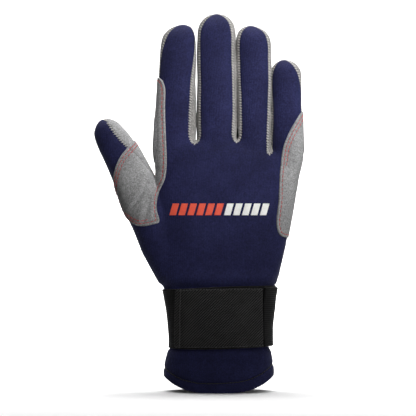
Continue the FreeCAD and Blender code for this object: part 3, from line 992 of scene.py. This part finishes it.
def template(path, radius, sides=6):
    """A short tube along a path of (along, across, out) points, with closed ends."""
    path = np.asarray(path, float)
    angle = 2 * math.pi * np.arange(sides) / sides
    rings = []
    for i, (centre, t) in enumerate(zip(path, unit(np.gradient(path, axis=0)))):
        u = unit(np.cross(t, (0.3, 0.2, 1.0)))
        r = radius * (0.75 if i in (0, len(path) - 1) else 1.0)
        rings.append(centre + r * (np.outer(np.cos(angle), u) + np.outer(np.sin(angle), np.cross(t, u))))
    return tube(rings)


WHIP_STITCH = template([(-0.35, -1.0, 0.0), (-0.22, -0.66, 0.45), (0, 0, 0.62), (0.22, 0.66, 0.45),
                        (0.35, 1.0, 0.0)], 0.33)
RUN_STITCH = template([(-1.1, 0, -0.3), (-0.85, 0, 0.12), (0, 0, 0.26), (0.85, 0, 0.12),
                       (1.1, 0, -0.3)], 0.27)
SHORT_STITCH = template([(-0.75, 0, -0.25), (-0.55, 0, 0.1), (0, 0, 0.2), (0.55, 0, 0.1),
                         (0.75, 0, -0.25)], 0.22)
WHIP_PITCH, RED_PITCH, HEM_PITCH = 1.8, 2.9, 2.1


class Stitches:
    """Gathers stitches by thread and zone, and makes one object of each group."""

    def __init__(self):
        self.groups = {}

    def add(self, thread, zone, stitch, places, alongs, outs):
        """A stitch at each place, turned to its direction along the row and out of the cloth."""
        points, faces = stitch
        outs = unit(outs)
        alongs = unit(alongs - outs * (alongs * outs).sum(1, keepdims=True))
        frames = np.stack([alongs, np.cross(outs, alongs), outs], 1)
        placed = places[:, None, :] + np.einsum("pk,mkc->mpc", points, frames)
        self.groups.setdefault((thread, zone), []).extend((one, faces) for one in placed)

    def row(self, thread, stitch, line, pitch, lift=0.0, keep=None):
        """Stitches along a line of value rows x, y, z, nx, ny, nz, shared out over the zones."""
        walked = resampled(line, pitch)
        if len(walked) < 3:
            return
        places, outs = walked[:, :3], walked[:, 3:6]
        alongs = np.gradient(places, axis=0)
        marks = Skin(places, np.zeros((0, 3), int))
        set_zones(marks)
        zones = zone_of(marks)
        for zone in sorted(set(zones)):
            chosen = zones == zone
            if keep is not None:
                chosen = chosen & keep(places)
            if chosen.any():
                self.add(thread, zone, stitch, places[chosen] + outs[chosen] * lift, alongs[chosen],
                         outs[chosen])

    def make(self):
        for (thread, zone), found in self.groups.items():
            made = new_object(f"{thread.name}_{zone}", *joined(found), None, thread)
            if zone == "strap_tab":
                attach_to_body(made, "strap_tab")
            else:
                attach(made, zone)


def zone_of(marks):
    """The zone of each point of a set with zone fields."""
    x, z = marks["x"], marks["z"]
    zones = np.full(len(x), "hand", dtype=object)
    zones[marks["thumb"] > 0] = "thumb"
    for name in FINGER_NAMES:
        lane = in_lane(name, x, z)
        zones[lane & (marks["lower"] > 0)] = name + "_lower"
        zones[lane & (marks["tip"] > 0)] = name + "_tip"
    return zones


def lines_of(layer, name, level=0.0):
    """Contours of a layer as rows of x, y, z, nx, ny, nz."""
    columns = [layer.names.index(k) for k in ("x", "y", "z", "nx", "ny", "nz")]
    return [line[:, columns] for line in layer.contours(name, level)]


# ---------------------------------------------------------------- the glove's cloth
def cloth_name(panel):
    """Names for the skin's panels on the hand, the thumb and each length of a finger."""
    whole = {"hand": "finger_gussets" if panel == "side" else panel + "_panel",
             "thumb": "thumb_back" if panel == "back" else "thumb_front"}

    def names(zone):
        node = whole.get(zone) or "_".join((zone.split("_")[0], panel, zone.split("_")[-1]))
        return node + "_cloth", [node]
    return names


def single(name, extra=None):
    """Names for a piece that keeps to the hand, with what a finger's part of it replaces."""
    def names(zone):
        if zone == "hand":
            return name + "_cloth", [name]
        node = (extra or {}).get(zone)
        return f"{name}_{zone}_cloth", [node] if node else []
    return names


def sew_patch(skin, stitches, field, names, rows, lift):
    """A patch laid on the skin, with red stitches along its rows."""
    patch = raised(skin.copy(), field, PATCH_RISE, rows)
    add_pieces(patch, names, SUEDE, "grey_suede")
    for row in rows:
        keep = (lambda p: inner_row(p, field)) if row == SECOND_ROW else None
        for line in lines_of(patch, field, row):
            stitches.row(RED, RUN_STITCH, line, RED_PITCH, lift, keep)


def make_cloth(stitches):
    """Every sewn piece of the glove but the strap. Returns the skin."""
    skin = dressed_skin()
    navy, palm, cuff, hem = (skin.share(k) > 0 for k in ("navy", "palm", "cuff", "hem"))
    side = ~navy & ~palm & (skin.share("z") > KNUCKLE_Z) & (skin.share("x") > THUMB_SIDE_X)
    add_pieces(skin, cloth_name("back"), NAVY, "navy_neoprene", navy & ~cuff)
    add_pieces(skin, cloth_name("palm"), SUEDE, "grey_suede", ~navy & ~side & ~cuff)
    add_pieces(skin, cloth_name("side"), GUSSET, "grey_suede", side & ~cuff)
    add_pieces(skin, single("cuff_sleeve"), NAVY, "navy_neoprene", cuff & ~hem)
    add_pieces(skin, single("cuff_hem"), NAVY, "navy_neoprene", hem)

    fingers = [lambda p, low=low: (p[:, 2] > low) & (p[:, 0] > THUMB_SIDE_X) for low in (152, 160)]
    for line in lines_of(skin, "navy"):
        stitches.row(WHIP, WHIP_STITCH, line, WHIP_PITCH, keep=fingers[0])
        stitches.row(WHIP, WHIP_STITCH, line, WHIP_PITCH,
                     keep=lambda p: (p[:, 2] > 100) & (p[:, 0] < THUMB_SIDE_X))
    for line in lines_of(skin, "palm"):
        stitches.row(WHIP, WHIP_STITCH, line, WHIP_PITCH, keep=fingers[1])
    for line in lines_of(skin, "hem"):
        stitches.row(DARK, RUN_STITCH, line, HEM_PITCH, 0.1)

    for field, finger in (("web", "index"), ("little", "little")):
        names = single(field + "_patch", {finger + "_lower": finger + "_patch_lower"})
        sew_patch(skin, stitches, field, names, (FIRST_ROW, SECOND_ROW), 0.04)
    for name in PALM_PATCHES:
        sew_patch(skin, stitches, name, single(name), (FIRST_ROW,), 0.0)
    return skin


# ---------------------------------------------------------------- the print
BAR_LOW, BAR_HIGH, BAR_WIDTH, BAR_GAP, BAR_SLANT = 117.2, 125.0, 4.4, 1.5, 2.2
PRINT_ROWS = (("print_coral", -33.4, 6, CORAL), ("print_white", 2.6, 5, WHITE))


def bar_distance(layer, start, count):
    """Signed distance to a row of slanted bars, positive inside."""
    field = np.full(len(layer.m), OUTSIDE)
    for left in start + np.arange(count) * (BAR_WIDTH + BAR_GAP):
        right = left + BAR_WIDTH
        corners = [(left, BAR_LOW), (right, BAR_LOW), (right + BAR_SLANT, BAR_HIGH),
                   (left + BAR_SLANT, BAR_HIGH)]
        field = np.maximum(field, inside_distance(layer["x"], layer["z"], corners))
    return field


def make_print(skin):
    """Plain slanted bars across the back of the hand."""
    for name, start, count, material in PRINT_ROWS:
        layer = skin.copy()
        layer.set("bars", np.where(layer["y"] < 0, bar_distance(layer, start, count), OUTSIDE))
        layer = layer.part((layer.share("bars") > -4) & (layer.share("y") < 0))
        for _ in range(2):
            layer.refine()
        layer.set("bars", bar_distance(layer, start, count))
        for level in (0.0, 0.06, 0.16, 0.3):
            layer.split("bars", level)
        layer = raised(layer, "bars", PRINT_RISE, edge=0.3)
        add_pieces(layer, single(name), material, name.split("_")[1] + "_print")


# ---------------------------------------------------------------- the wrist strap
TAB_LEFT, TAB_RIGHT = -28.3, 27.2   # measured on the wrist, under the tab
ROOT_FROM, ROOT_TO = 29.9, 35.4
ROOT_TOP = 3.3
BAND_LOW, BAND_TOP, LOOP_TOP, HOOK_LOW, TAB_LOW, TAB_TOP = 0.1, 1.35, 2.1, 2.3, 2.95, 4.0
TAB_STEP, ROOT_STEP = 0.4, 0.3
TAB_SEAM_COLUMN = 9                 # the grid column under the row of stitches at the tab's left
TAB_EDGE_ROWS = (3, 97)
TAB_CHANNELS = ((4.3, 0.5), (1.5, 0.45))    # sunk lines: distance from the tab's left end, width
TWILL_RISE, CHANNEL_DEPTH = 0.34, 0.22


def grid_object(name, places, outs, low, high, relief, material, wrap=False, edge=0.5, rounding=0.35):
    """A strip laid over a grid of places, between two heights, with relief and rounded edges."""
    rows, columns = places.shape[:2]
    step_u = np.linalg.norm(np.diff(places, axis=0), axis=2).mean()
    step_v = np.linalg.norm(np.diff(places, axis=1), axis=2).mean()
    u = np.minimum(np.arange(rows), np.arange(rows)[::-1])[:, None] * step_u
    v = np.minimum(np.arange(columns), np.arange(columns)[::-1])[None, :] * step_v
    t = np.clip(np.minimum(u, v if not wrap else 1e9) / edge, 0, 1)
    top = high - rounding * (1 - np.sqrt(np.maximum(1 - (1 - t) ** 2, 0))) + relief * t
    upper = places + outs * top[:, :, None]
    lower = places + outs * low
    points = np.concatenate([upper.reshape(-1, 3), lower.reshape(-1, 3)])
    count = rows * columns
    faces = []
    for j in range(columns if wrap else columns - 1):
        k = (j + 1) % columns
        far = (rows - 1) * columns
        for a in range(0, far, columns):
            faces.append((a + j, a + k, a + columns + k, a + columns + j))
            faces.append((a + columns + j + count, a + columns + k + count, a + k + count, a + j + count))
        faces.append((k, j, j + count, k + count))
        faces.append((far + j, far + k, far + k + count, far + j + count))
    if not wrap:
        for a in range(0, (rows - 1) * columns, columns):
            b, end = a + columns, columns - 1
            faces.append((a, b, b + count, a + count))
            faces.append((b + end, a + end, a + end + count, b + end + count))
    return new_object(name, points, faces, None, material), upper


def smooth_grid(grid, rounds, wrap=False):
    """A grid averaged along its rows and columns. wrap joins its last column to its first."""
    for _ in range(rounds):
        wide = np.pad(grid, ((0, 0), (1, 1), (0, 0)), mode="wrap" if wrap else "edge")
        grid = (wide[:, :-2] + 2 * grid + wide[:, 2:]) / 4
        tall = np.pad(grid, ((1, 1), (0, 0), (0, 0)), mode="edge")
        grid = (tall[:-2] + 2 * grid + tall[2:]) / 4
    return grid


def strap_height(share, x):
    """The strap rises a little towards the middle of the back and towards the right."""
    slant = 0.8 * x / 35
    low = STRAP_LOW - 0.9 * math.cos(x / 24) + 0.2 + slant
    high = STRAP_HIGH + 1.1 * math.cos((x - 12) / 26) - 0.2 + slant
    return low + (high - low) * share


def ray_round(share, angle):
    """From the wrist's middle outwards, for the band."""
    toward = Vector((math.cos(angle), math.sin(angle) * 0.55, 0))
    return Vector((0, 0, strap_height(share, 35 * math.cos(angle)))), toward


def ray_back(share, x):
    """From in front of the back of the hand, for the tab."""
    return Vector((x, -80, strap_height(share, x))), Vector((0, 1, 0))


def ray_right(share, x):
    """Outwards to the wrist's right side, for the tab's root."""
    return Vector((x - 14, 0, strap_height(share, x))), Vector((x - 21, -(38 - x) * 1.05, 0)).normalized()


def wrist_grid(tree, ray, shares, walks, rounds, ring=False):
    """Places and outward directions where rays meet the wrist, smoothed for so many rounds each."""
    places, outs = np.zeros((2, len(shares), len(walks), 3))
    for i, share in enumerate(shares):
        for j, walk in enumerate(walks):
            places[i, j], outs[i, j] = tree.ray_cast(*ray(share, walk))[:2]
    return smooth_grid(places, rounds[0], ring), unit(smooth_grid(outs, rounds[1], ring))


def make_band(tree):
    """The elastic that goes round the wrist."""
    walks = np.linspace(0, 2 * math.pi, 420, endpoint=False)
    places, outs = wrist_grid(tree, ray_round, np.linspace(0, 1, 97), walks, (3, 8), ring=True)
    ribs = 0.10 * np.cos(2 * math.pi * places[:, :, 2] / RIB_PITCH)
    band, _ = grid_object("strap_band_cloth", places, outs, BAND_LOW, BAND_TOP, ribs, ELASTIC, wrap=True)
    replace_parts(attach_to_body(band, "hand"), "strap_band")


def make_tab(tree, stitches):
    """The tab that peels open, with the hook tape under it and the loop tape on the band."""
    shares = np.linspace(0, 1, 101)
    walks = np.arange(TAB_LEFT, TAB_RIGHT + 0.01, TAB_STEP)
    places, outs = wrist_grid(tree, ray_back, shares, walks, (3, 8))
    x, z = places[:, :, 0], places[:, :, 2]
    twill = 0.5 + 0.5 * np.cos(2 * math.pi * (x - z) / math.sqrt(2) / TWILL_PITCH)
    dashes = 0.88 + 0.12 * np.cos(2 * math.pi * (x + z) / math.sqrt(2) / DASH_PITCH)
    inset = np.minimum(step(x, TAB_LEFT + 2.2, TAB_LEFT + 3.4),
                       step(-np.abs(shares[:, None] - 0.5), -0.465, -0.44))
    channel = sum(bell(x, TAB_LEFT + at, width) for at, width in TAB_CHANNELS)
    relief = TWILL_RISE * twill**1.5 * dashes * inset - CHANNEL_DEPTH * channel
    tab, upper = grid_object("strap_tab_cloth", places, outs, TAB_LOW, TAB_TOP, relief, WEBBING)
    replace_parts(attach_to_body(tab, "strap_tab"), "strap_tab")

    part = (slice(4, -4), slice(4, 126))
    grid = places[part], outs[part]
    soft = 0.08 * np.cos(x * 5.1) * np.cos(z * 4.7)
    loop, _ = grid_object("loop_tape_cloth", *grid, BAND_TOP, LOOP_TOP, soft[part], CLOSURE)
    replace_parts(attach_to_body(loop, "hand"), "loop_tape")
    hook, _ = grid_object("hook_tape_cloth", *grid, HOOK_LOW, TAB_LOW, 0.0, CLOSURE)
    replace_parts(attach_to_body(hook, "strap_tab"), "hook_tape")

    for row in TAB_EDGE_ROWS:
        line = np.concatenate([upper[row], outs[row]], axis=1)
        add_plain(stitches, line[4:-2], 2.3, (1.0, 0, 0), 0.02)
    line = np.concatenate([upper[:, TAB_SEAM_COLUMN], outs[:, TAB_SEAM_COLUMN]], axis=1)
    add_plain(stitches, line[3:-3], 1.7, (0, 0, 1.0), 0.05)


def make_root(tree):
    """The sewn end that the tab peels from."""
    walks = np.arange(ROOT_FROM, ROOT_TO, ROOT_STEP)
    places, outs = wrist_grid(tree, ray_right, np.linspace(0, 1, 101), walks, (3, 6))
    ribs = 0.12 * np.cos(2 * math.pi * places[:, :, 2] / RIB_PITCH)
    root, _ = grid_object("strap_root_cloth", places, outs, BAND_TOP - 0.1, ROOT_TOP, ribs, ELASTIC,
                          edge=0.8, rounding=0.6)
    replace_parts(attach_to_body(root, "hand"), "strap_root")


def add_plain(stitches, line, pitch, along, lift):
    """A row of short stitches on the strap's tab."""
    walked = resampled(line, pitch)
    places, outs = walked[:, :3] + walked[:, 3:6] * lift, walked[:, 3:6]
    stitches.add(TAPE_THREAD, "strap_tab", SHORT_STITCH, places, np.tile(along, (len(places), 1)), outs)


# ---------------------------------------------------------------- stage, light and camera
VIEW_MIDDLE = Vector((-7.83, 0.0, 122.0))
VIEW_DISTANCE = 1386.0
LENS = 180.0
WORLD_LIGHT = 0.12
AREA_LIGHTS = (         # name, place and target in metres, size, power, spread in degrees
    ("key", (0.13, -0.24, 0.31), (0.015, 0, 0.212), (0.2, 0.2), 0.20, 55),
    ("side", (0.5, -0.5, 0.12), (0.03, 0, 0.06), (0.2, 0.3), 0.9, 180),
    ("backdrop", (0.0, 0.5, 1.6), (0, 1.7, 0.5), (2.4, 1.0), 50, 180),
    ("table", (0.0, 0.88, 0.98), (0, 0.88, 0), (2.6, 1.75), 25, 64),
)
# The floor runs flat to FLOOR_FLAT behind the glove, then curves up; metres
FLOOR_NEAR, FLOOR_FLAT, FLOOR_HALF_WIDTH = -3.0, 0.9, 4.0
CURVE_RADIUS, CURVE_STEPS, BACK_TOP = 0.8, 24, 3.5
PAPER = 0.93            # the floor's grey, nearly white


def plain_material(name, value):
    """Matt paper, even but for a very faint drift."""
    s = Shade(name, 0.9)
    return s.finish(s.shaded(s.ramp(s.noise(400), [(0.3, (value,) * 3), (0.7, (value * 0.995,) * 3)]),
                             s.noise(60), 0.995, 1.0), [])


def area_light(name, place, target, size, power, spread):
    light = bpy.data.lights.new(name, "AREA")
    light.shape = "RECTANGLE"
    light.size, light.size_y = size
    light.energy = power
    light.spread = math.radians(spread)
    lamp = bpy.data.objects.new(name, light)
    lamp.location = place
    lamp.rotation_euler = (Vector(target) - Vector(place)).to_track_quat("-Z", "Y").to_euler()
    bpy.context.scene.collection.objects.link(lamp)


def make_floor():
    """A pale sheet of paper that lies flat and curves up behind."""
    profile = [(FLOOR_NEAR, 0.0)]
    for angle in np.linspace(0, math.pi / 2, CURVE_STEPS + 1):
        profile.append((FLOOR_FLAT + CURVE_RADIUS * math.sin(angle), CURVE_RADIUS * (1 - math.cos(angle))))
    profile.append((FLOOR_FLAT + CURVE_RADIUS, BACK_TOP))
    points = np.array([(x, y, z) for y, z in profile for x in (-FLOOR_HALF_WIDTH, FLOOR_HALF_WIDTH)]) / MM
    faces = [(2 * i, 2 * i + 1, 2 * i + 3, 2 * i + 2) for i in range(len(profile) - 1)]
    floor = new_object("floor", points, faces, None, plain_material("floor_paper", PAPER))
    floor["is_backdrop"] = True
    floor.visible_diffuse = False


def make_stage():
    make_floor()
    world = bpy.data.worlds.new("studio")
    world.use_nodes = True
    background = world.node_tree.nodes["Background"]
    background.inputs["Color"].default_value = (1, 1, 1, 1)
    background.inputs["Strength"].default_value = WORLD_LIGHT
    bpy.context.scene.world = world
    for light in AREA_LIGHTS:
        area_light(*light)

    camera = bpy.data.cameras.new("camera")
    camera.lens = LENS
    camera.sensor_width = 36
    eye = bpy.data.objects.new("camera", camera)
    eye.location = (VIEW_MIDDLE - Vector((0, VIEW_DISTANCE, 0))) * MM
    eye.rotation_euler = (math.pi / 2, 0, 0)
    bpy.context.scene.collection.objects.link(eye)
    bpy.context.scene.camera = eye
    bpy.context.scene.view_settings.view_transform = "Standard"


def write_sizes():
    boxes = {"cad": cad_box, "visual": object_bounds()}
    plain = {name: [[float(v) for v in corner] for corner in box] for name, box in boxes.items()}


stitching = Stitches()
glove_skin = make_cloth(stitching)
make_print(glove_skin)
wrist = BVHTree.FromPolygons(glove_skin.points.tolist(), glove_skin.t.tolist())
make_band(wrist)
make_tab(wrist, stitching)
make_root(wrist)
stitching.make()
make_stage()
write_sizes()
